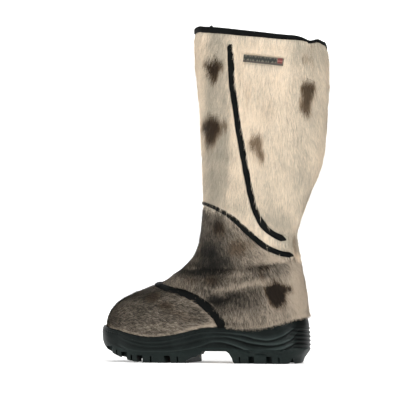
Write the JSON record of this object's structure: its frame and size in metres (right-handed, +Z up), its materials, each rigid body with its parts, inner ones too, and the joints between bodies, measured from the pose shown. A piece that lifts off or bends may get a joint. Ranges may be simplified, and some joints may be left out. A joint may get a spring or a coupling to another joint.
{
  "type": "sealskin boot",
  "caption": "Tall pull-on fur boot for the left foot, on a lugged rubber cup sole, with toothed ice cleats that flip out of wells in the sole.",
  "frame": {"origin": "on the floor, in the middle of the whole boot seen from above", "axes": "+Z up along the shaft, -X towards the toe, +X towards the heel, -Y towards the outer (lateral) side of the left foot"},
  "size_m": [0.3275, 0.1072, 0.4622],
  "materials": {
    "fur_foot": "short lying fur, grey-brown with silver tips",
    "fur_shaft": "short lying fur, pale cream with dark brown spots",
    "binding_leather": "black, softly glossy",
    "sole_rubber": "matt black",
    "cup_rubber": "satin black",
    "insole_felt": "pressed grey felt",
    "badge_weave": "plain woven tab",
    "inlay_rubber": "satin yellow",
    "cleat_red": "red gloss",
    "steel": "bright steel"
  },
  "bodies": {
    "boot": {"outsole": "sole_rubber", "midsole": "cup_rubber", "toe_cap": "fur_foot", "upper": "fur_foot", "shaft": "fur_shaft", "collar_binding": "binding_leather", "insole": "insole_felt", "badge": "badge_weave", "arch_inlay": "inlay_rubber", "hinge_pin_front": "steel", "hinge_pin_heel": "steel"},
    "front_cleat": {"cleat_plate_front": "cleat_red", "stud_front_1": "steel", "stud_front_2": "steel", "stud_front_3": "steel", "stud_front_4": "steel", "stud_front_5": "steel", "stud_front_6": "steel", "stud_front_7": "steel", "stud_front_8": "steel"},
    "heel_cleat": {"cleat_plate_heel": "cleat_red", "stud_heel_1": "steel", "stud_heel_2": "steel", "stud_heel_3": "steel", "stud_heel_4": "steel", "stud_heel_5": "steel", "stud_heel_6": "steel"}
  },
  "joints": [
    {"name": "front_cleat_flip", "type": "hinge", "parent": "boot", "child": "front_cleat", "pos_m": [-0.072, -0.00175, 0.0035], "axis": [0, 1, 0], "range_deg": [0, 180]},
    {"name": "heel_cleat_flip", "type": "hinge", "parent": "boot", "child": "heel_cleat", "pos_m": [0.084, 0.00025, 0.0035], "axis": [0, -1, 0], "range_deg": [0, 180]}
  ]
}
